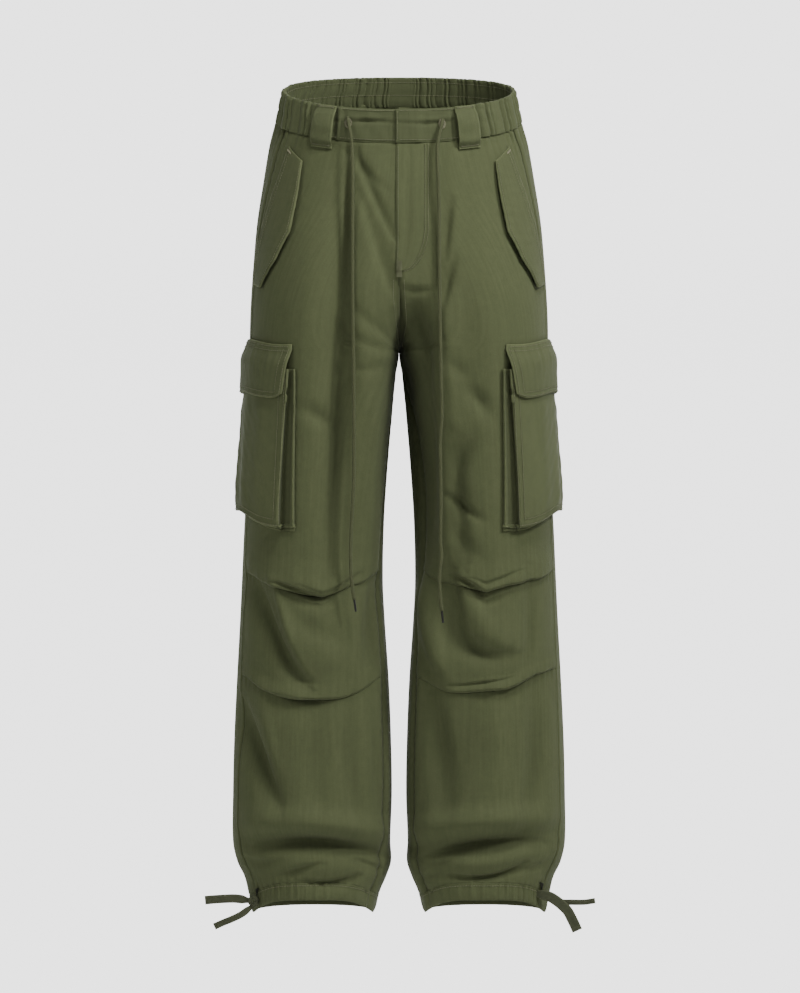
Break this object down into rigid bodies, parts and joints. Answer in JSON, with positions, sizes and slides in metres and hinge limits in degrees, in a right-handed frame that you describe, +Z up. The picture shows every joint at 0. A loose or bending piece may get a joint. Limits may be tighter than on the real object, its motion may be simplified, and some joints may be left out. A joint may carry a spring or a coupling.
{
  "type": "cargo pants",
  "caption": "Loose cargo pants in worn form: gathered elastic waist, lapped fly, belt loops, drawcords, knee panels, flapped thigh pockets and tied hems.",
  "frame": {"origin": "centre of the waist opening, at the waistband's mid height at the sides", "axes": "+Z up along the body, the front faces -Y, +X is the wearer's left"},
  "size_m": [0.496, 0.2744, 1.1013],
  "materials": {
    "cloth": "matte twill",
    "cloth_back": "matte twill",
    "tape": "matte woven tape",
    "cord": "matte braided cord",
    "cord_tip": "satin"
  },
  "bodies": {
    "root": {"front_thigh_left": "cloth", "front_knee_left": "cloth", "front_shin_left": "cloth", "back_leg_left": "cloth_back", "hem_casing_left": "cloth", "hip_flap_left": "cloth", "cargo_pocket_left": "cloth", "cargo_flap_left": "cloth", "front_thigh_right": "cloth", "front_knee_right": "cloth", "front_shin_right": "cloth", "back_leg_right": "cloth_back", "hem_casing_right": "cloth", "hip_flap_right": "cloth", "cargo_pocket_right": "cloth", "cargo_flap_right": "cloth", "waistband_front_right": "cloth", "waistband_front_left": "cloth", "fly_placket": "cloth", "belt_loop_front_right": "cloth", "belt_loop_front_left": "cloth", "belt_loop_side_left": "cloth", "belt_loop_back": "cloth", "belt_loop_side_right": "cloth", "waistband_back": "cloth", "drawcord_right": "cord", "cord_tip_right": "cord_tip", "drawcord_left": "cord", "cord_tip_left": "cord_tip", "hem_tie_upper_right": "tape", "hem_tie_lower_right": "tape", "hem_tie_front_left": "tape", "hem_tie_back_left": "tape", "hem_knot_right": "tape"}
  },
  "joints": []
}
